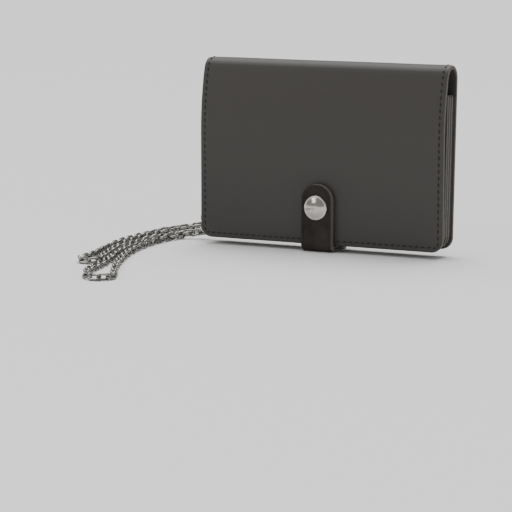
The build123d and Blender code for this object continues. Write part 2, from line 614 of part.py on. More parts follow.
def build():
    """All of the wallet's pieces by name."""
    parts = {
        "front_cover": front_cover(),
        "front_lining": front_lining(),
        "front_seam_thread": front_seam(),
        "back_cover": back_cover(),
        "back_lining": back_lining(),
        "back_seam_thread": back_seam(),
    }
    for i in range(SPINE_STRIPS):
        parts[f"spine_{i + 1}"] = spine_strip(i, 0, LEATHER)
        parts[f"spine_lining_{i + 1}"] = spine_strip(i, LEATHER + GLUE, COVER_THICK)
    for i, name in enumerate(("leaf_rear", "leaf_middle", "leaf_front")):
        parts[name] = leaf(i)
    for i, name in enumerate(("note_pocket", "middle_pocket", "front_pocket")):
        parts[f"{name}_gusset_left"] = gusset(i, -1)
        parts[f"{name}_gusset_right"] = gusset(i, 1)
        parts[f"{name}_floor"] = pocket_floor(i)
    for i, (name, drop) in enumerate(SLOT_DROPS.items()):
        parts[name] = card_slot(i, COVER_HEIGHT - drop)
    parts["strap_base"] = strap_base_ply(STRAP_THICK, STRAP_LINING + GLUE)
    parts["strap_base_lining"] = strap_base_ply(STRAP_LINING, 0)
    parts["strap_base_thread"] = strap_base_seam()
    parts["strap_tab"] = strap_tab()
    parts["strap_tab_lining"] = strap_tab_lining()
    parts["strap_tab_thread"] = strap_tab_seam()
    parts["snap_cap"] = snap_cap()
    parts["snap_socket"] = snap_socket()
    parts["snap_stud"] = snap_stud()
    parts["snap_rivet"] = snap_rivet()
    parts["ring_chape"] = ring_chape()
    parts["d_ring"] = d_ring()
    parts["jump_ring"] = jump_ring()
    for name, points in chain_routes().items():
        parts[name] = chain_tube(name, points)
    parts["hook_eye"] = hook_eye()
    parts["hook_body"] = hook_body()
    parts["hook_gate"] = hook_gate()
    parts["gate_pin"] = gate_pin()
    return parts


def main():
    os.makedirs("parts", exist_ok=True)
    for name, part in build().items():
        export_step(part, f"parts/{name}.step")


if __name__ == "__main__":
    main()
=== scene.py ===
"""Leather wallet that opens along its top fold, with a press-stud strap and a belt chain."""

import random
from math import ceil, cos, hypot, pi, radians, sin

import bmesh
import bpy
from bpy.props import FloatProperty, FloatVectorProperty, IntProperty, PointerProperty
from mathutils import Matrix, Vector, noise


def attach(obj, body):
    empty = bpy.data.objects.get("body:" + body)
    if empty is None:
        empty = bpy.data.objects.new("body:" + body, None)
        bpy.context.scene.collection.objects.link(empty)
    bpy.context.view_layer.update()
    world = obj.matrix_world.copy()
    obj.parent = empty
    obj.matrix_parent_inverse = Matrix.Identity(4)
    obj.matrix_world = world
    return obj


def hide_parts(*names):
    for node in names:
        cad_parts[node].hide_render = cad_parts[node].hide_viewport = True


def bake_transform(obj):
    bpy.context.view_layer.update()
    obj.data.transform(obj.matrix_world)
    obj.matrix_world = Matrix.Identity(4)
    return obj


bl_info = {
    "name": "Chain wallet",
    "version": (1, 0, 0),
    "blender": (4, 5, 0),
    "location": "3D View > Sidebar > Chain wallet",
    "description": "Builds a leather wallet with a press-stud strap and a belt chain",
    "category": "Object",
}

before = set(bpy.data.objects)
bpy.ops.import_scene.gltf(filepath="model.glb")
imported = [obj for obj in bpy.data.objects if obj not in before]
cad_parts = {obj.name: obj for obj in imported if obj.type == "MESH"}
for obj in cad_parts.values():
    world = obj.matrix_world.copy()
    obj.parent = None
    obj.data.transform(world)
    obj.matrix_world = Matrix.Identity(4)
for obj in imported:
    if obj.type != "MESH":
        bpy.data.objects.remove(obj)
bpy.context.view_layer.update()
MM = 0.001
FRONT_LEAN = radians(15.0)
BACK_LEAN = radians(2.5)
STRIPS = 4


# ---- settings ------------------------------------------------------------------
def size(label, default, note, low=0.0):
    return FloatProperty(name=label, default=default * MM, min=low, subtype="DISTANCE", unit="LENGTH",
                         precision=4, description=note)


def colour(label, default, note):
    return FloatVectorProperty(name=label, default=default, size=3, min=0.0, max=1.0, subtype="COLOR",
                               description=note)


class WalletSizes(bpy.types.PropertyGroup):
    """Sizes of the leather parts"""
    width: size("Width", 132.0, "Cover's width")
    height: size("Height", 91.0, "Cover's height, from its bottom edge to the top of the fold")
    foot: size("Foot", 3.4, "Cover's bottom edge above the table")
    front_face: size("Front face", 7.9, "Front cover's outer face in front of the middle")
    fold_radius: size("Fold radius", 7.2, "Outside radius of the fold")
    fold_back: size("Fold centre", 3.15, "Fold's centre behind the middle")
    corner: size("Corner radius", 6.0, "Round bottom corners of the cover")
    leather: size("Leather", 1.2, "Thickness of the cover's leather")
    lining: size("Lining", 0.75, "Thickness of the lining")
    glue: size("Glue", 0.05, "Film between two plies")
    edge: size("Edge rounding", 0.28, "Rounding of the leather's edges")
    seam: size("Seam inset", 2.4, "Seam's distance from the edge")
    pitch: size("Stitch pitch", 3.25, "Distance from stitch to stitch")
    thread: size("Thread", 0.8, "Width of a stitch")
    leaf: size("Leaf", 1.2, "Thickness of an inside leaf")
    leaf_gap: size("Leaf gap", 1.6, "Pocket between two leaves")
    rear_gap: size("Rear gap", 2.0, "Pocket in front of the rear lining")
    leaf_height: size("Leaf height", 76.0, "Height of the leaves")
    leaf_inset: size("Leaf inset", 0.8, "Leaves stop this far inside the cover")
    leaf_foot: size("Leaf foot", 0.6, "Leaves start this far above the cover's edge")


class StrapSizes(bpy.types.PropertyGroup):
    """Sizes of the strap and its press stud"""
    width: size("Width", 16.5, "Strap's width")
    outer: size("Outer ply", 1.6, "Thickness of the outer ply")
    lining: size("Lining", 1.35, "Thickness of the strap's lining")
    top: size("Top", 34.0, "Height of the strap's round end")
    back_height: size("Back height", 26.0, "Length sewn to the rear cover")
    back_bend: size("Back bend", 3.45, "Outside radius where the strap turns down the back")
    front_bend: size("Front bend", 4.2, "Outside radius where the strap turns up the front")
    clear: size("Clearance", 0.4, "Between the strap and the front cover")
    seam: size("Seam inset", 1.45, "Seam's distance from the strap's edge")
    pitch: size("Stitch pitch", 2.9, "Distance from stitch to stitch")
    crown: size("Crown", 0.4, "How far the padded middle stands up")
    stud_height: size("Stud height", 22.4, "Press stud above the table")
    cap: size("Cap radius", 6.2, "Radius of the press stud's cap")
    cap_rise: size("Cap rise", 1.9, "Height of the cap's dome")


class ChainSizes(bpy.types.PropertyGroup):
    """Sizes of the belt chain"""
    wire: size("Wire", 1.3, "Diameter of a link's wire")
    link_length: size("Link length", 7.0, "Outside length of a link")
    link_width: size("Link width", 4.3, "Outside width of a link")
    seed: IntProperty(name="Seed", default=7, min=0, description="Settles how the links lie")


class WalletColours(bpy.types.PropertyGroup):
    """Colours of the materials"""
    leather_dark: colour("Leather, dark", (0.0062, 0.0042, 0.0031), "Deep tone of the cover leather")
    leather_light: colour("Leather, light", (0.0100, 0.0072, 0.0056), "Light tone of the cover leather")
    strap_dark: colour("Strap, dark", (0.022, 0.0185, 0.0165), "Deep tone of the strap")
    strap_light: colour("Strap, light", (0.044, 0.038, 0.034), "Light tone of the strap")
    inner_dark: colour("Inner leather, dark", (0.020, 0.019, 0.018), "Deep tone of the inside")
    inner_light: colour("Inner leather, light", (0.036, 0.034, 0.032), "Light tone of the inside")
    raw_edge: colour("Raw edge", (0.20, 0.18, 0.16), "Cut edge of the leather")
    thread: colour("Thread", (0.002, 0.002, 0.002), "Waxed thread")
    nickel: colour("Nickel", (0.50, 0.47, 0.44), "Polished press stud")
    aged_nickel: colour("Aged nickel", (0.33, 0.32, 0.30), "Chain, rings and hook")
    tarnish: colour("Tarnish", (0.06, 0.057, 0.054), "Darker film on the aged nickel")
    floor: colour("Floor", (0.86, 0.86, 0.86), "Table")


# ---- materials -----------------------------------------------------------------
def add_node(tree, kind, inputs=None, **settings):
    """New shader node with its settings, and values or links on its inputs."""
    node = tree.nodes.new("ShaderNode" + kind)
    for key, value in settings.items():
        setattr(node, key, value)
    for key, value in (inputs or {}).items():
        if isinstance(value, bpy.types.NodeSocket):
            tree.links.new(value, node.inputs[key])
        else:
            node.inputs[key].default_value = value
    return node


def blank(name, sockets):
    """Material with one Principled shader and fixed values on its sockets."""
    material = bpy.data.materials.new(name)
    material.use_nodes = True
    tree = material.node_tree
    shader = tree.nodes["Principled BSDF"]
    for key, value in sockets.items():
        shader.inputs[key].default_value = value
    return material, tree, shader


def rgba(value):
    return (*value, 1.0)


def noise_node(tree, where, scale, detail=3.0, rough=0.5):
    return add_node(tree, "TexNoise", {"Vector": where, "Scale": scale, "Detail": detail, "Roughness": rough})


def math(tree, operation, a, b=0.0):
    return add_node(tree, "Math", {0: a, 1: b}, operation=operation).outputs[0]


def span(tree, value, low, high, to_low=0.0, to_high=1.0):
    return add_node(tree, "MapRange", {"Value": value, "From Min": low, "From Max": high,
                                       "To Min": to_low, "To Max": to_high},
                    interpolation_type="SMOOTHSTEP").outputs[0]


def blend_colours(tree, share, a, b):
    node = add_node(tree, "Mix", data_type="RGBA")
    tree.links.new(share, node.inputs[0])
    for index, value in ((6, a), (7, b)):
        if isinstance(value, bpy.types.NodeSocket):
            tree.links.new(value, node.inputs[index])
        else:
            node.inputs[index].default_value = value
    return node.outputs[2]


def bump(tree, height, strength, distance, under=None):
    inputs = {"Height": height, "Strength": strength, "Distance": distance}
    if under is not None:
        inputs["Normal"] = under
    return add_node(tree, "Bump", inputs).outputs[0]


def leather(name, dark, light, roughness, grain, seam=None):
    """Leather with fine grain, uneven colour and, with a seam, the furrow that the stitches pull."""
    material, tree, shader = blank(name, {"Specular IOR Level": 0.12, "Coat Weight": 0.0,
                                          "Coat Roughness": 0.32})
    where = add_node(tree, "TexCoord").outputs["Object"]
    broad = noise_node(tree, where, 55.0, 5.0, 0.6).outputs[0]
    tone = span(tree, broad, 0.32, 0.68)
    worn = add_node(tree, "Attribute", attribute_name="wear").outputs["Fac"]
    base = blend_colours(tree, tone, rgba(dark), rgba(light))
    lighter = tuple(min(1.0, c * 2.1) for c in light)
    tree.links.new(blend_colours(tree, worn, base, rgba(lighter)), shader.inputs["Base Color"])
    pores = add_node(tree, "TexVoronoi", {"Vector": where, "Scale": 1500.0, "Randomness": 0.95},
                     feature="DISTANCE_TO_EDGE").outputs[0]
    cells = span(tree, pores, 0.0, 0.22)
    fine = noise_node(tree, where, 3400.0, 2.0, 0.55).outputs[0]
    creases = noise_node(tree, where, 260.0, 4.0, 0.55).outputs[0]
    surface = bump(tree, creases, 0.16 * grain, 0.0008)
    surface = bump(tree, cells, 0.20 * grain, 0.00008, surface)
    surface = bump(tree, fine, 0.14 * grain, 0.00006, surface)
    if seam is not None:
        surface = seam_furrow(tree, seam, surface)
    tree.links.new(surface, shader.inputs["Normal"])
    patches = noise_node(tree, where, 120.0, 4.0, 0.6).outputs[0]
    tree.links.new(span(tree, patches, 0.25, 0.75, roughness - 0.05, roughness + 0.07),
                   shader.inputs["Roughness"])
    return material


def seam_furrow(tree, seam, surface):
    """Groove along the cover's side and bottom seams, deeper at each needle hole."""
    half_width, foot, pitch = seam
    flat = add_node(tree, "SeparateXYZ", {0: add_node(tree, "UVMap", uv_map="cut").outputs[0]})
    aside = math(tree, "SUBTRACT", half_width, math(tree, "ABSOLUTE", flat.outputs[0]))
    above = math(tree, "SUBTRACT", flat.outputs[1], foot)
    off = math(tree, "ABSOLUTE", math(tree, "MINIMUM", aside, above))
    on_side = math(tree, "LESS_THAN", aside, above)
    run = math(tree, "ADD", math(tree, "MULTIPLY", on_side, flat.outputs[1]),
               math(tree, "MULTIPLY", math(tree, "SUBTRACT", 1.0, on_side), flat.outputs[0]))
    wave = math(tree, "COSINE", math(tree, "MULTIPLY", run, 2 * pi / pitch))
    depth = span(tree, wave, -1.0, 1.0, 0.55, 1.0)
    groove = span(tree, off, 0.0, 1.1 * MM, -1.0, 0.0)
    return bump(tree, math(tree, "MULTIPLY", groove, depth), 0.85, 0.00022, surface)


def raw_edge(name, tone):
    """Cut edge of leather: paler, matt and fibrous."""
    material, tree, shader = blank(name, {"Roughness": 0.8})
    where = add_node(tree, "TexCoord").outputs["Object"]
    fibres = noise_node(tree, where, 1800.0, 4.0, 0.65).outputs[0]
    deep = tuple(c * 0.4 for c in tone)
    tree.links.new(blend_colours(tree, span(tree, fibres, 0.3, 0.65), rgba(deep), rgba(tone)),
                   shader.inputs["Base Color"])
    tree.links.new(bump(tree, fibres, 0.4, 0.0001), shader.inputs["Normal"])
    return material


def twisted_thread(name, tone):
    """Waxed thread with its twist."""
    material, tree, shader = blank(name, {"Roughness": 0.55, "Base Color": rgba(tone)})
    where = add_node(tree, "TexCoord").outputs["Object"]
    twist = add_node(tree, "TexWave", {"Vector": where, "Scale": 520.0, "Distortion": 1.0},
                     bands_direction="DIAGONAL").outputs["Fac"]
    tree.links.new(bump(tree, twist, 0.5, 0.0001), shader.inputs["Normal"])
    return material


def metal(name, bright, film, roughness, wear):
    """Nickel plate with a broken darker film and fine scratches."""
    material, tree, shader = blank(name, {"Metallic": 1.0})
    where = add_node(tree, "TexCoord").outputs["Object"]
    clouds = noise_node(tree, where, 420.0, 5.0, 0.62).outputs[0]
    share = span(tree, clouds, 0.42, 0.72, 0.0, wear)
    tree.links.new(blend_colours(tree, share, rgba(bright), rgba(film)), shader.inputs["Base Color"])
    marks = noise_node(tree, where, 1600.0, 3.0, 0.6).outputs[0]
    tree.links.new(span(tree, marks, 0.2, 0.8, roughness * 0.75, roughness * 1.35),
                   shader.inputs["Roughness"])
    tree.links.new(bump(tree, marks, 0.06, 0.00004), shader.inputs["Normal"])
    return material


def make_materials(scene):
    """Every material of the wallet, by name."""
    tones, sizes = scene.wallet_colours, scene.wallet_sizes
    seam = (sizes.width / 2 - sizes.seam, sizes.seam, sizes.pitch)
    leather("cover_leather", tones.leather_dark, tones.leather_light, 0.40, 0.8, seam)
    leather("strap_leather", tones.strap_dark, tones.strap_light, 0.42, 0.8)
    leather("inner_leather", tones.inner_dark, tones.inner_light, 0.62, 1.3)
    raw_edge("raw_edge", tones.raw_edge)
    twisted_thread("waxed_thread", tones.thread)
    metal("polished_nickel", tones.nickel, tones.aged_nickel, 0.15, 0.35)
    metal("aged_nickel", tones.aged_nickel, tones.tarnish, 0.27, 0.85)


def finish_of(name):
    return bpy.data.materials[name]


# ---- shapes --------------------------------------------------------------------
class Side:
    """Side view of a bent sheet's outer face: straights and arcs joined end to end.

    Each stretch is (length, turn), and the outer face is on the left of the direction of travel.
    """

    def __init__(self, start, heading, stretches):
        self.stretches = []
        point, along = Vector(start), 0.0
        for length, turn in stretches:
            self.stretches.append((along, length, turn, point.copy(), heading))
            point = self.travel(point, heading, length, turn, length)
            heading += turn
            along += length
        self.length = along

    @staticmethod
    def travel(point, heading, length, turn, far):
        if not turn:
            return point + far * Vector((cos(heading), sin(heading)))
        radius = length / turn
        ahead = heading + turn * far / length
        return point + radius * Vector((sin(ahead) - sin(heading), cos(heading) - cos(ahead)))

    def at(self, far):
        """Point (y, z) and heading at a distance along the sheet."""
        chosen = self.stretches[0]
        for stretch in self.stretches:
            if far >= stretch[0] - 1e-9:
                chosen = stretch
        along, length, turn, point, heading = chosen
        here = far - along
        return self.travel(point, heading, length, turn, here), heading + (turn * here / length if turn else 0)

    def place(self, x, far, depth):
        """Point in space at a depth below the outer face."""
        point, heading = self.at(far)
        return Vector((x, point[0] + depth * sin(heading), point[1] - depth * cos(heading)))

    def axes(self, far):
        """Direction of travel and outward direction at a distance along the sheet."""
        heading = self.at(far)[1]
        return Vector((0, cos(heading), sin(heading))), Vector((0, -sin(heading), cos(heading)))


def cover_side(sizes):
    """Front cover from its bottom edge up, over the fold and down the rear cover."""
    sweep_y = sizes.fold_back - sizes.fold_radius * cos(FRONT_LEAN) + sizes.front_face
    sweep = sweep_y / (1 - cos(FRONT_LEAN))
    fold_up = sizes.foot + sizes.height - sizes.fold_radius
    flat = fold_up + (sizes.fold_radius - sweep) * sin(FRONT_LEAN) - sizes.foot
    fold_turn = pi - FRONT_LEAN + BACK_LEAN
    back = (fold_up - sizes.fold_radius * sin(BACK_LEAN) - sizes.foot) / cos(BACK_LEAN)
    return Side((-sizes.front_face, sizes.foot), pi / 2, [
        (flat, 0), (sweep * FRONT_LEAN, -FRONT_LEAN), (sizes.fold_radius * fold_turn, -fold_turn), (back, 0)])


def fold_span(side):
    """Where the fold starts and ends along the cover."""
    start = side.stretches[2][0]
    return start, start + side.stretches[2][1]


def rear_side(sizes):
    """Rear cover's outer face, from its bottom edge up, facing forwards."""
    side = cover_side(sizes)
    foot = side.at(side.length)[0]
    return Side(foot, pi / 2 - BACK_LEAN, [(side.stretches[3][1], 0)])


def strap_side(sizes, strap):
    """Strap from its end on the rear cover, down, under the wallet and up the front."""
    thick = strap.outer + strap.lining + sizes.glue
    foot = rear_side(sizes).at(0)[0]
    inside = strap.back_bend - thick
    bend_y = foot[0] + sizes.glue - inside * cos(BACK_LEAN)
    front_y = -sizes.front_face - strap.clear - thick
    start = (bend_y + strap.back_bend * cos(BACK_LEAN) + strap.back_height * sin(BACK_LEAN),
             strap.back_bend * (1 - sin(BACK_LEAN)) + strap.back_height * cos(BACK_LEAN))
    turn = pi / 2 - BACK_LEAN
    return Side(start, -pi / 2 - BACK_LEAN, [
        (strap.back_height, 0), (strap.back_bend * turn, -turn),
        (bend_y - front_y - strap.front_bend, 0),
        (strap.front_bend * pi / 2, -pi / 2), (strap.top - strap.front_bend, 0)])


def round_off(share_x, share_s, width, length, low, high):
    """Flat place of a sheet's grid point, its square corners drawn in to round ones."""
    x, s = (share_x - 0.5) * width, share_s * length
    for radius, from_end in ((low, s), (high, length - s)):
        across = abs(x) - (width / 2 - radius)
        along = radius - from_end
        if radius > 0 and across > 0 and along > 0:
            a, b = across / radius, along / radius
            a, b = a * (1 - b * b / 2) ** 0.5, b * (1 - a * a / 2) ** 0.5
            x = (1 if x > 0 else -1) * (width / 2 - radius + a * radius)
            inward = radius - b * radius
            s = inward if from_end == s or from_end is s else length - inward
    return x, s


def bent_sheet(name, side, width, reach, depths, step, corners=(0, 0), edge=0.0, open_ends=(False, False),
               relief=None, finishes=("cover_leather", "raw_edge")):
    """Sheet of leather on a side view, with rounded edges and paler cut edges."""
    low, high = reach
    length = high - low
    shape = bmesh.new()
    bmesh.ops.create_grid(shape, x_segments=max(1, round(width / step)), y_segments=max(1, round(length / step)),
                          size=0.5)
    for point in shape.verts:
        x, s = round_off(point.co.x + 0.5, point.co.y + 0.5, width, length, *corners)
        point.co = (x, s, 0)
    thick = depths[1] - depths[0]
    bmesh.ops.solidify(shape, geom=shape.faces[:], thickness=thick)
    top = max(point.co.z for point in shape.verts)
    for point in shape.verts:
        point.co.z -= top
    bmesh.ops.recalc_face_normals(shape, faces=shape.faces)
    rim = []
    for line in shape.edges:
        at_low = all(point.co.y < 1e-7 for point in line.verts)
        at_high = all(point.co.y > length - 1e-7 for point in line.verts)
        if (open_ends[0] and at_low) or (open_ends[1] and at_high):
            continue
        if len(line.link_faces) == 2 and line.calc_face_angle() > 1.0:
            rim.append(line)
    if edge > 0:
        bmesh.ops.bevel(shape, geom=rim, offset=edge, segments=3, profile=0.5, affect="EDGES", material=-1)
    flat = shape.loops.layers.uv.new("cut")
    wear = shape.verts.layers.float.new("wear")
    for face in shape.faces:
        middle = face.calc_center_median()
        inner_end = (open_ends[0] and middle.y < 1e-6) or (open_ends[1] and middle.y > length - 1e-6)
        face.material_index = 1 if abs(face.normal.z) < 0.3 and not inner_end else 0
        face.smooth = True
        for corner in face.loops:
            corner[flat].uv = (corner.vert.co.x, corner.vert.co.y + low)
    for line in shape.edges:
        if len(line.link_faces) == 2 and line.calc_face_angle() > 0.8:
            line.smooth = False
    for point in shape.verts:
        x, s, z = point.co
        rise = relief(x, s + low) if relief else 0.0
        share = 1 + z / thick
        to_edge = min(width / 2 - abs(x), s if not open_ends[0] else 1, length - s if not open_ends[1] else 1)
        rub = noise.noise(Vector((x * 60, s * 60, 3.0))) * 0.5 + 0.5
        point[wear] = max(0.0, 1 - to_edge / (0.8 * MM)) * rub * 0.8
        point.co = side.place(x, s + low, depths[0] - z - rise * share)
    bmesh.ops.recalc_face_normals(shape, faces=shape.faces)
    return finished(name, shape, finishes)


def finished(name, shape, finishes):
    """Object from a bmesh, with its materials."""
    mesh = bpy.data.meshes.new(name)
    shape.to_mesh(mesh)
    shape.free()
    piece = bpy.data.objects.new(name, mesh)
    bpy.context.scene.collection.objects.link(piece)
    for finish in finishes:
        mesh.materials.append(finish_of(finish))
    return piece


def softened(name, node, edge, finishes):
    """Copy of a hard-edged node with its edges rounded."""
    shape = bmesh.new()
    shape.from_mesh(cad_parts[node].data)
    bmesh.ops.remove_doubles(shape, verts=shape.verts, dist=1e-6)
    bmesh.ops.dissolve_limit(shape, angle_limit=radians(1.0), verts=shape.verts, edges=shape.edges)
    sharp = [line for line in shape.edges if len(line.link_faces) == 2 and line.calc_face_angle() > 0.7]
    bmesh.ops.bevel(shape, geom=sharp, offset=edge, segments=2, profile=0.5, affect="EDGES", material=-1,
                    clamp_overlap=True)
    for face in shape.faces:
        face.smooth = True
    for line in shape.edges:
        line.smooth = not (len(line.link_faces) == 2 and line.calc_face_angle() > 0.9)
    piece = finished(name, shape, finishes)
    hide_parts(node)
    return piece


def broad_relief(x, s, seed=0.0):
    """Slow unevenness of leather, up to about a sixth of a millimetre."""
    return 0.16 * MM * noise.noise(Vector((x * 32, s * 32, seed)))


# ---- stitches ------------------------------------------------------------------
def line_of_stitches(a, b, pitch):
    """Middles of the stitches on a straight seam drawn flat."""
    a, b = Vector(a), Vector(b)
    count = max(1, round((b - a).length / pitch))
    return [(a.lerp(b, (i + 0.5) / count), (b - a).normalized()) for i in range(count)]


def arc_of_stitches(centre, radius, start, end, pitch):
    """Middles of the stitches on an arc drawn flat."""
    count = max(1, round(abs(end - start) * radius / pitch))
    found = []
    for i in range(count):
        angle = start + (end - start) * (i + 0.5) / count
        place = Vector(centre) + radius * Vector((cos(angle), sin(angle)))
        found.append((place, Vector((-sin(angle), cos(angle)))))
    return found


def stitch_row(name, side, places, length, width, depth=0.0, slant=0.16, facing=1):
    """One mesh of stitches lying on a sheet's outer face, or on its other face."""
    shape = bmesh.new()
    for place, along in places:
        travel, out = side.axes(place.y)
        out *= facing
        run = along.x * Vector((1, 0, 0)) + along.y * travel
        run = Matrix.Rotation(slant, 3, out) @ run
        across = out.cross(run)
        turned = Matrix((run, across, out)).transposed().to_4x4()
        here = Matrix.Translation(side.place(place.x, place.y, depth))
        stretch = Matrix.Diagonal((length / 2, width / 2, width * 0.42, 1))
        bmesh.ops.create_uvsphere(shape, u_segments=8, v_segments=6, radius=1, matrix=here @ turned @ stretch)
    for face in shape.faces:
        face.smooth = True
    piece = finished(name, shape, ["waxed_thread"])
    return piece


# ---- operators -----------------------------------------------------------------
class WALLET_OT_materials(bpy.types.Operator):
    """Make the wallet's materials, and give them to the parts that keep their shape"""
    bl_idname = "wallet.materials"
    bl_label = "Materials"

    def execute(self, context):
        make_materials(context.scene)
        kept = {
            "polished_nickel": ["snap_socket", "snap_stud", "snap_rivet"],
            "aged_nickel": ["d_ring", "jump_ring", "hook_eye", "hook_gate", "gate_pin"],
        }
        for finish, nodes in kept.items():
            for node in nodes:
                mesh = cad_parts[node].data
                mesh.materials.clear()
                mesh.materials.append(finish_of(finish))
        return {"FINISHED"}


def cover_joins(side):
    """Lengths along the cover where its pieces meet: the middle of each of the fold's strips."""
    start, end = fold_span(side)
    return [start + (end - start) * (i + 0.5) / STRIPS for i in range(STRIPS)]


def bend_at(side, piece, reach, depth):
    """Bake a piece's placement into its mesh; the points at the two ends of its stretch of the cover are worked out but
    not used, and the piece is not bent.
    """
    side.place(0, reach[0], depth)
    side.place(0, reach[1], depth)
    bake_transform(piece)


def cover_pieces(side):
    """Name, reach, bodies and bending stretch of each piece of the cover, from the front to the back."""
    start, end = fold_span(side)
    joins = cover_joins(side)
    lead = joins[0] - start
    pieces = [("front", (0.0, joins[0]), ("front", "spine_strip_4"), (start - lead, joins[0]))]
    for i in range(STRIPS - 1):
        bodies = (f"spine_strip_{STRIPS - i}", f"spine_strip_{STRIPS - 1 - i}")
        pieces.append((f"fold_{i + 1}", (joins[i], joins[i + 1]), bodies, (joins[i], joins[i + 1])))
    pieces.append(("back", (joins[-1], side.length), ("spine_strip_1", "back"), (joins[-1], end + lead)))
    return pieces


class WALLET_OT_cover(bpy.types.Operator):
    """Make the outer leather and its lining in one sweep from the front over the fold to the back"""
    bl_idname = "wallet.cover"
    bl_label = "Cover"

    def execute(self, context):
        sizes = context.scene.wallet_sizes
        side = cover_side(sizes)
        stands_for = {"front": ["{}_cover"], "fold_1": ["spine_4"], "fold_2": ["spine_3"],
                      "fold_3": ["spine_2", "spine_1"], "back": ["{}_cover"]}
        inner = sizes.leather + sizes.glue
        plies = (("leather", (0.0, sizes.leather), 1.0 * MM, "cover_leather"),
                 ("lining", (inner, inner + sizes.lining), 2.0 * MM, "inner_leather"))

        def relief(x, s):
            border = min(sizes.width / 2 - abs(x), s, side.length - s)
            pressed = max(0.0, 1 - border / (3.6 * MM))
            return broad_relief(x, s) - 0.22 * MM * pressed * pressed

        for name, reach, bodies, bending in cover_pieces(side):
            ends = (name != "front", name != "back")
            corners = (sizes.corner if name == "front" else 0, sizes.corner if name == "back" else 0)
            for ply, depths, step, finish in plies:
                if name.startswith("fold"):
                    step *= 0.6
                piece = bent_sheet(f"{name}_{ply}", side, sizes.width, reach, depths, step, corners, sizes.edge,
                                   ends, relief if ply == "leather" else None, (finish, "raw_edge"))
                bend_at(side, piece, bending, inner + sizes.lining)
                nodes = [n.format(name) for n in stands_for[name]]
                if ply == "lining":
                    nodes = [n.replace("_cover", "_lining").replace("spine_", "spine_lining_") for n in nodes]
                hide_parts(*nodes)
        return {"FINISHED"}


class WALLET_OT_cover_stitches(bpy.types.Operator):
    """Sew the cover's sides and bottom edges"""
    bl_idname = "wallet.cover_stitches"
    bl_label = "Cover stitches"

    def execute(self, context):
        sizes, strap = context.scene.wallet_sizes, context.scene.wallet_strap
        side = cover_side(sizes)
        edge_x = sizes.width / 2 - sizes.seam
        beside = strap.width / 2 + sizes.seam * 0.4
        low, high = sizes.seam, side.length - sizes.seam
        runs = []
        for x in (-edge_x, edge_x):
            runs += line_of_stitches((x, low), (x, high), sizes.pitch)
        rows = {}
        for s in (low, high):
            for x0, x1 in ((-edge_x, -beside), (beside, edge_x)):
                rows.setdefault(s, []).extend(line_of_stitches((x0, s), (x1, s), sizes.pitch))
        for name, reach, bodies, bending in cover_pieces(side):
            places = [p for p in runs if reach[0] <= p[0].y < reach[1]]
            if name == "front":
                places += rows[low]
            if name == "back":
                places += rows[high]
            piece = stitch_row(f"{name}_stitches", side, places, sizes.pitch * 0.66, sizes.thread)
            bend_at(side, piece, bending, sizes.leather + sizes.glue + sizes.lining)
            if name in ("front", "back"):
                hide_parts(f"{name}_seam_thread")
        return {"FINISHED"}


class WALLET_OT_leaves(bpy.types.Operator):
    """Make the three leaves and the card slots inside"""
    bl_idname = "wallet.leaves"
    bl_label = "Leaves and card slots"

    def execute(self, context):
        sizes = context.scene.wallet_sizes
        rear = rear_side(sizes)
        cover = sizes.leather + sizes.glue + sizes.lining
        width = sizes.width - 2 * sizes.leaf_inset
        for i, node in enumerate(("leaf_rear", "leaf_middle", "leaf_front")):
            depth = -(cover + sizes.rear_gap + i * (sizes.leaf + sizes.leaf_gap)) - sizes.leaf
            seed = 10.0 + i
            piece = bent_sheet(f"{node}_leather", rear, width, (sizes.leaf_foot, sizes.leaf_height),
                               (depth, depth + sizes.leaf), 1.6 * MM, (sizes.corner, 0), 0.35 * MM, (False, False),
                               lambda x, s: 0.5 * broad_relief(x, s, seed), ("inner_leather", "raw_edge"))
            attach(piece, "back")
            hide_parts(node)
            seam = [p for x in (-width / 2 + 2 * MM, width / 2 - 2 * MM)
                    for p in line_of_stitches((x, sizes.corner), (x, sizes.leaf_height - 1.5 * MM), sizes.pitch)]
            sewn = stitch_row(f"{node}_stitches", rear, seam, sizes.pitch * 0.66, 0.5 * MM, depth)
            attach(sewn, "back")
        front = Side((-sizes.front_face, sizes.foot), pi / 2, [(sizes.height, 0)])
        for i, (node, high) in enumerate((("card_slot_rear", 50.0 * MM), ("card_slot_front", 38.0 * MM))):
            depth = cover + sizes.glue + i * (0.55 * MM + sizes.glue)
            piece = bent_sheet(f"{node}_leather", front, sizes.width - 8 * MM, (sizes.seam, sizes.seam + high),
                               (depth, depth + 0.55 * MM), 1.6 * MM, (3 * MM, 0), 0.15 * MM, (False, False), None,
                               ("inner_leather", "raw_edge"))
            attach(piece, "front")
            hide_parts(node)
            across = line_of_stitches((-sizes.width / 2 + 7 * MM, sizes.seam + high - 2.5 * MM),
                                      (sizes.width / 2 - 7 * MM, sizes.seam + high - 2.5 * MM), sizes.pitch)
            sewn = stitch_row(f"{node}_stitches", front, across, sizes.pitch * 0.66, 0.4 * MM,
                              depth + 0.55 * MM, facing=-1)
            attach(sewn, "front")
        return {"FINISHED"}


class WALLET_OT_pockets(bpy.types.Operator):
    """Soften the folded strips at the sides and bottoms of the pockets"""
    bl_idname = "wallet.pockets"
    bl_label = "Pocket strips"

    def execute(self, context):
        for pocket in ("note_pocket", "middle_pocket", "front_pocket"):
            for strip in ("gusset_left", "gusset_right", "floor"):
                node = f"{pocket}_{strip}"
                piece = softened(f"{node}_leather", node, 0.1 * MM, ["inner_leather"])
                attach(piece, "back")
        return {"FINISHED"}


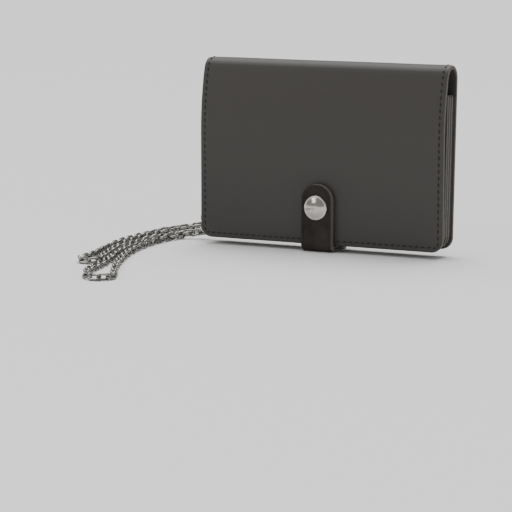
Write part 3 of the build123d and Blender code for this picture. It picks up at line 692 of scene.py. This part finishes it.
class WALLET_OT_strap(bpy.types.Operator):
    """Make the strap's two plies and its stitches"""
    bl_idname = "wallet.strap"
    bl_label = "Strap"

    def execute(self, context):
        sizes, strap = context.scene.wallet_sizes, context.scene.wallet_strap
        side = strap_side(sizes, strap)
        under = side.stretches[2][0] + side.stretches[2][1] / 2
        up = side.stretches[4][0]
        seam_x = strap.width / 2 - strap.seam
        tip = strap.width / 2

        def relief(x, s):
            centre = side.length - tip
            edge = tip - (hypot(x, s - centre) if s > centre else abs(x))
            groove = max(0.0, 1 - abs(edge - strap.seam) / (0.75 * MM))
            crown = min(1.0, max(0.0, (edge - strap.seam) / (3.5 * MM)))
            border = max(0.0, 1 - edge / strap.seam)
            rise = strap.crown * crown * (2 - crown) - 0.16 * MM * groove ** 2 - 0.12 * MM * border ** 2
            free = min(1.0, max(0.0, (s - up) / (3 * MM)))
            return free * (rise + 0.4 * broad_relief(x, s, 4.0))

        plies = (("leather", (0.0, strap.outer), relief, "strap_leather", "cover_leather", ""),
                 ("lining", (strap.outer + sizes.glue, strap.outer + sizes.glue + strap.lining), None,
                  "inner_leather", "inner_leather", "_lining"))
        for ply, depths, shape, finish, slot, suffix in plies:
            base = bent_sheet(f"strap_base_{ply}", side, strap.width, (0.0, under), depths, 0.5 * MM,
                              (1.5 * MM, 0), 0.3 * MM, (False, True), shape, (finish, "raw_edge"))
            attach(base, "back")
            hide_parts(f"strap_base{suffix}")
            tab = bent_sheet(f"strap_tab_{ply}", side, strap.width, (under, side.length), depths, 0.45 * MM,
                             (0, tip), 0.3 * MM, (True, False), shape, (finish, "raw_edge"))
            side.place(0, up - 1.6 * MM, 0)
            side.place(0, up + 2.4 * MM, 0)
            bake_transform(tab)
            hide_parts(f"strap_tab{suffix}")
        centre = side.length - tip
        around = [p for x in (-seam_x, seam_x) for p in line_of_stitches((x, under + 2 * MM), (x, centre), strap.pitch)]
        around += arc_of_stitches((0, centre), seam_x, 0, pi, strap.pitch)
        sewn = stitch_row("strap_tab_stitches", side, around, strap.pitch * 0.62, 0.55 * MM)
        side.place(0, up - 1.6 * MM, 0)
        side.place(0, up + 2.4 * MM, 0)
        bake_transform(sewn)
        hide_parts("strap_tab_thread")
        box = []
        top, foot = 2 * MM, strap.back_height - 2 * MM
        for x in (-seam_x, seam_x):
            box += line_of_stitches((x, top), (x, under - 2 * MM), strap.pitch)
        for s in (top, foot):
            box += line_of_stitches((-seam_x, s), (seam_x, s), strap.pitch)
        sewn = stitch_row("strap_base_stitches", side, box, strap.pitch * 0.62, 0.55 * MM)
        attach(sewn, "back")
        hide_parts("strap_base_thread")
        return {"FINISHED"}


class WALLET_OT_snap(bpy.types.Operator):
    """Turn the press stud's domed cap"""
    bl_idname = "wallet.snap"
    bl_label = "Press stud cap"

    def execute(self, context):
        sizes, strap = context.scene.wallet_sizes, context.scene.wallet_strap
        face_y = -sizes.front_face - strap.clear - strap.outer - strap.lining - sizes.glue - strap.crown * 0.75
        radius, rise = strap.cap, strap.cap_rise
        profile = [(0.0, 0.0), (radius * 0.93, 0.0), (radius * 0.985, 0.12 * MM), (radius, 0.38 * MM),
                   (radius * 0.985, 0.62 * MM), (radius * 0.955, 0.78 * MM), (radius * 0.90, 0.80 * MM),
                   (radius * 0.865, 0.74 * MM), (radius * 0.84, 0.76 * MM)]
        for i in range(1, 9):
            share = 1 - i / 8
            profile.append((radius * 0.84 * share, 0.76 * MM + (rise - 0.76 * MM) * (1 - share ** 2.2)))
        shape = bmesh.new()
        points = [shape.verts.new((r, face_y - h, strap.stud_height)) for r, h in profile]
        lines = [shape.edges.new(pair) for pair in zip(points, points[1:])]
        bmesh.ops.spin(shape, geom=points + lines, cent=(0, face_y, strap.stud_height), axis=(0, 1, 0),
                       angle=2 * pi, steps=96, use_merge=True)
        bmesh.ops.remove_doubles(shape, verts=shape.verts, dist=1e-6)
        bmesh.ops.recalc_face_normals(shape, faces=shape.faces)
        for face in shape.faces:
            face.smooth = True
        for line in shape.edges:
            line.smooth = not (len(line.link_faces) == 2 and line.calc_face_angle() > 1.2)
        piece = finished("snap_cap_dome", shape, ["polished_nickel"])
        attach(piece, "strap")
        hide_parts("snap_cap")
        return {"FINISHED"}


class WALLET_OT_ring(bpy.types.Operator):
    """Make the leather loop that holds the D-ring"""
    bl_idname = "wallet.ring"
    bl_label = "Ring's leather loop"

    def execute(self, context):
        piece = softened("ring_loop_leather", "ring_chape", 0.12 * MM, ["strap_leather"])
        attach(piece, "back")
        return {"FINISHED"}


CHAIN_ROUTE = [
    (-71.35, 4.4, 3.9), (-76.6, 3.4, 3.0), (-81.8, -2.6, 2.0), (-84.4, -13.0, 2.0), (-85.0, -29.0, 2.0),
    (-82.0, -50.0, 2.0), (-75.4, -72.5, 2.0), (-66.6, -95.0, 2.0), (-58.9, -111.0, 2.0),
    (-53.2, -121.0, 2.0), (-50.4, -129.6, 2.0), (-58.0, -134.4, 2.0), (-64.6, -128.0, 2.0),
    (-69.0, -118.4, 2.0), (-71.6, -104.0, 2.0), (-74.6, -90.0, 2.0), (-80.2, -73.0, 2.0),
    (-86.8, -50.5, 2.0), (-89.7, -29.0, 2.0), (-89.0, -11.0, 2.0), (-86.4, 3.0, 2.0), (-81.6, 15.0, 2.0),
    (-74.0, 25.0, 2.0), (-64.4, 30.6, 2.0), (-55.4, 32.0, 2.0), (-54.0, 40.6, 2.0), (-63.6, 42.2, 2.0),
    (-76.8, 38.8, 2.0), (-87.4, 28.8, 2.0), (-93.4, 14.0, 2.0), (-94.8, -6.0, 2.0), (-94.5, -29.2, 2.0),
    (-91.7, -51.6, 2.0), (-86.0, -70.4, 2.0), (-82.2, -81.6, 2.0), (-80.0, -89.4, 2.0),
    (-83.9, -93.0, 2.0), (-89.6, -91.0, 2.0), (-90.4, -82.0, 2.0), (-92.4, -68.0, 2.0),
    (-96.6, -52.6, 2.0), (-99.6, -29.4, 2.0), (-99.8, -6.0, 2.0), (-98.6, 12.0, 2.0), (-93.0, 31.0, 2.0),
    (-82.0, 45.0, 2.0), (-68.0, 53.2, 2.0), (-54.0, 55.0, 2.0),
]


def chain_line():
    """Points along the chain's smooth line, read from its spline."""
    curve = bpy.data.curves.new("chain_route", "CURVE")
    curve.dimensions = "3D"
    curve.resolution_u = 16
    spline = curve.splines.new("NURBS")
    spline.points.add(len(CHAIN_ROUTE) - 1)
    for point, place in zip(spline.points, CHAIN_ROUTE):
        point.co = (*(c * MM for c in place), 1)
    spline.order_u = 3
    spline.use_endpoint_u = True
    holder = bpy.data.objects.new("chain_route", curve)
    mesh = bpy.data.meshes.new_from_object(holder)
    points = [point.co.copy() for point in mesh.vertices]
    bpy.data.objects.remove(holder)
    bpy.data.curves.remove(curve)
    bpy.data.meshes.remove(mesh)
    return points


def one_link(chain):
    """Oval link lying flat, long side along X."""
    shape = bmesh.new()
    wire = chain.wire / 2
    radius = chain.link_width / 2 - wire
    stretch = (chain.link_length - chain.link_width) / 2
    section = bmesh.ops.create_circle(
        shape, segments=6, radius=wire,
        matrix=Matrix.Translation((0, radius, 0)) @ Matrix.Rotation(pi / 2, 4, "Y"))["verts"]
    turned = Matrix.Rotation(pi / 12, 3, "Z")
    bmesh.ops.rotate(shape, cent=(0, 0, 0), matrix=turned, verts=section)
    bmesh.ops.spin(shape, geom=shape.verts[:] + shape.edges[:], cent=(0, 0, 0), axis=(0, 0, 1), angle=2 * pi,
                   steps=12, use_merge=True)
    bmesh.ops.remove_doubles(shape, verts=shape.verts, dist=1e-6)
    for point in shape.verts:
        point.co.x += stretch if point.co.x > 0 else -stretch
    bmesh.ops.recalc_face_normals(shape, faces=shape.faces)
    for face in shape.faces:
        face.smooth = True
    mesh = bpy.data.meshes.new("link")
    shape.to_mesh(mesh)
    shape.free()
    return mesh


class WALLET_OT_chain(bpy.types.Operator):
    """Lay the chain's links along its route"""
    bl_idname = "wallet.chain"
    bl_label = "Chain"

    def execute(self, context):
        chain = context.scene.wallet_chain
        route = chain_line()
        lengths = [0.0]
        for a, b in zip(route, route[1:]):
            lengths.append(lengths[-1] + (b - a).length)
        total = lengths[-1]
        reach = 0.6 * MM
        pitch = chain.link_length - 2 * chain.wire
        count = ceil((total + 2 * reach) / pitch) + 1
        template = one_link(chain)
        chance = random.Random(chain.seed)
        shape = bmesh.new()
        span_at = 0
        for i in range(count):
            far = -reach + (total + 2 * reach) * i / (count - 1)
            while span_at < len(route) - 2 and lengths[span_at + 1] < far:
                span_at += 1
            a, b = route[span_at], route[span_at + 1]
            along = (b - a).normalized()
            here = a + along * (far - lengths[span_at])
            side = Vector((0, 0, 1)).cross(along).normalized()
            out = along.cross(side)
            lay = radians(45) + radians(32) * noise.noise(Vector((far * 22, 0.3, 1.7)))
            roll = lay + (pi / 2 if i % 2 else 0) + radians(chance.uniform(-7, 7))
            yaw = radians(chance.uniform(-5, 5))
            turned = Matrix((along, side, out)).transposed() @ Matrix.Rotation(roll, 3, "X")
            turned = turned @ Matrix.Rotation(yaw, 3, "Z")
            known = len(shape.verts)
            shape.from_mesh(template)
            shape.verts.ensure_lookup_table()
            fresh = shape.verts[known:]
            bmesh.ops.transform(shape, matrix=Matrix.Translation(here) @ turned.to_4x4(), verts=fresh)
            lowest = min(point.co.z for point in fresh)
            if abs(here.z - 2 * MM) < 0.1 * MM:
                for point in fresh:
                    point.co.z += 0.02 * MM - lowest
        bpy.data.meshes.remove(template)
        piece = finished("belt_chain", shape, ["aged_nickel"])
        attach(piece, "back")
        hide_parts("chain_run_1", "chain_run_2", "chain_run_3", "chain_run_4")
        return {"FINISHED"}


class WALLET_OT_hook(bpy.types.Operator):
    """Round the edges of the belt hook"""
    bl_idname = "wallet.hook"
    bl_label = "Belt hook"

    def execute(self, context):
        piece = softened("hook_frame", "hook_body", 0.35 * MM, ["aged_nickel"])
        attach(piece, "hook")
        return {"FINISHED"}


class WALLET_OT_stage(bpy.types.Operator):
    """Set the table, the lights and the camera"""
    bl_idname = "wallet.stage"
    bl_label = "Table, lights and camera"

    def execute(self, context):
        scene = context.scene
        floor_material, _, _ = blank("table", {"Base Color": rgba(scene.wallet_colours.floor), "Roughness": 0.9,
                                               "Specular IOR Level": 0.1})
        shape = bmesh.new()
        bmesh.ops.create_grid(shape, x_segments=1, y_segments=1, size=4.0)
        table = finished("table", shape, ["table"])

        world = bpy.data.worlds.new("studio")
        world.use_nodes = True
        sky = world.node_tree.nodes["Background"]
        sky.inputs["Color"].default_value = (1.0, 1.0, 1.0, 1.0)
        sky.inputs["Strength"].default_value = 0.38
        scene.world = world

        sun = bpy.data.lights.new("softbox", "SUN")
        sun.energy = 3.4
        sun.angle = radians(60)
        overhead = bpy.data.objects.new("softbox", sun)
        overhead.rotation_euler = Vector((0.12, -0.30, -1.0)).to_track_quat("-Z", "Y").to_euler()
        scene.collection.objects.link(overhead)

        lamps = (
            ("key", (-0.75, -0.85, 0.75), (0, 0, 0.04), 0.35, 1.0, (1.0, 0.98, 0.95)),
            ("fill", (1.1, -0.5, 0.5), (0, 0, 0.05), 0.5, 0.8, (0.97, 0.98, 1.0)),
            ("sheen", (-0.62, -1.05, 0.52), (0, 0, 0.08), 0.35, 1.0, (1.0, 0.95, 0.88)),
        )
        for name, place, target, width, power, tint in lamps:
            light = bpy.data.lights.new(name, "AREA")
            light.size = width
            light.energy = power
            light.color = tint
            lamp = bpy.data.objects.new(name, light)
            lamp.location = place
            lamp.rotation_euler = (Vector(target) - Vector(place)).to_track_quat("-Z", "Y").to_euler()
            scene.collection.objects.link(lamp)

        view = bpy.data.cameras.new("camera")
        view.lens = 166.6
        view.sensor_width = 36.0
        view.clip_end = 20.0
        eye = bpy.data.objects.new("camera", view)
        yaw, pitch = radians(25.96), radians(8.96)
        eye.location = (0.4830, -1.0713, 0.1818)
        ahead = Vector((-sin(yaw) * cos(pitch), cos(yaw) * cos(pitch), -sin(pitch)))
        eye.rotation_euler = ahead.to_track_quat("-Z", "Y").to_euler()
        scene.collection.objects.link(eye)
        scene.camera = eye
        return {"FINISHED"}


class WALLET_PT_panel(bpy.types.Panel):
    """Sizes, colours and pieces of the chain wallet"""
    bl_idname = "WALLET_PT_panel"
    bl_label = "Chain wallet"
    bl_space_type = "VIEW_3D"
    bl_region_type = "UI"
    bl_category = "Chain wallet"

    def draw(self, context):
        for group in SETTINGS:
            settings = getattr(context.scene, group)
            box = self.layout.box()
            box.label(text=type(settings).__doc__)
            for key in settings.__annotations__:
                box.prop(settings, key)
        for step in STEPS:
            self.layout.operator(step.bl_idname)


SETTINGS = {
    "wallet_sizes": WalletSizes,
    "wallet_strap": StrapSizes,
    "wallet_chain": ChainSizes,
    "wallet_colours": WalletColours,
}
STEPS = (
    WALLET_OT_materials, WALLET_OT_hook, WALLET_OT_chain, WALLET_OT_cover, WALLET_OT_cover_stitches,
    WALLET_OT_leaves, WALLET_OT_pockets, WALLET_OT_strap, WALLET_OT_snap, WALLET_OT_ring, WALLET_OT_stage,
)


def register():
    for group, kind in SETTINGS.items():
        bpy.utils.register_class(kind)
        setattr(bpy.types.Scene, group, PointerProperty(type=kind))
    for kind in STEPS:
        bpy.utils.register_class(kind)
    bpy.utils.register_class(WALLET_PT_panel)


def unregister():
    bpy.utils.unregister_class(WALLET_PT_panel)
    for kind in reversed(STEPS):
        bpy.utils.unregister_class(kind)
    for group, kind in reversed(list(SETTINGS.items())):
        delattr(bpy.types.Scene, group)
        bpy.utils.unregister_class(kind)


def main():
    register()
    bpy.ops.wallet.materials()
    bpy.ops.wallet.hook()
    bpy.ops.wallet.chain()
    bpy.ops.wallet.cover()
    bpy.ops.wallet.cover_stitches()
    bpy.ops.wallet.leaves()
    bpy.ops.wallet.pockets()
    bpy.ops.wallet.strap()
    bpy.ops.wallet.snap()
    bpy.ops.wallet.ring()
    bpy.ops.wallet.stage()


if __name__ == "__main__":
    main()
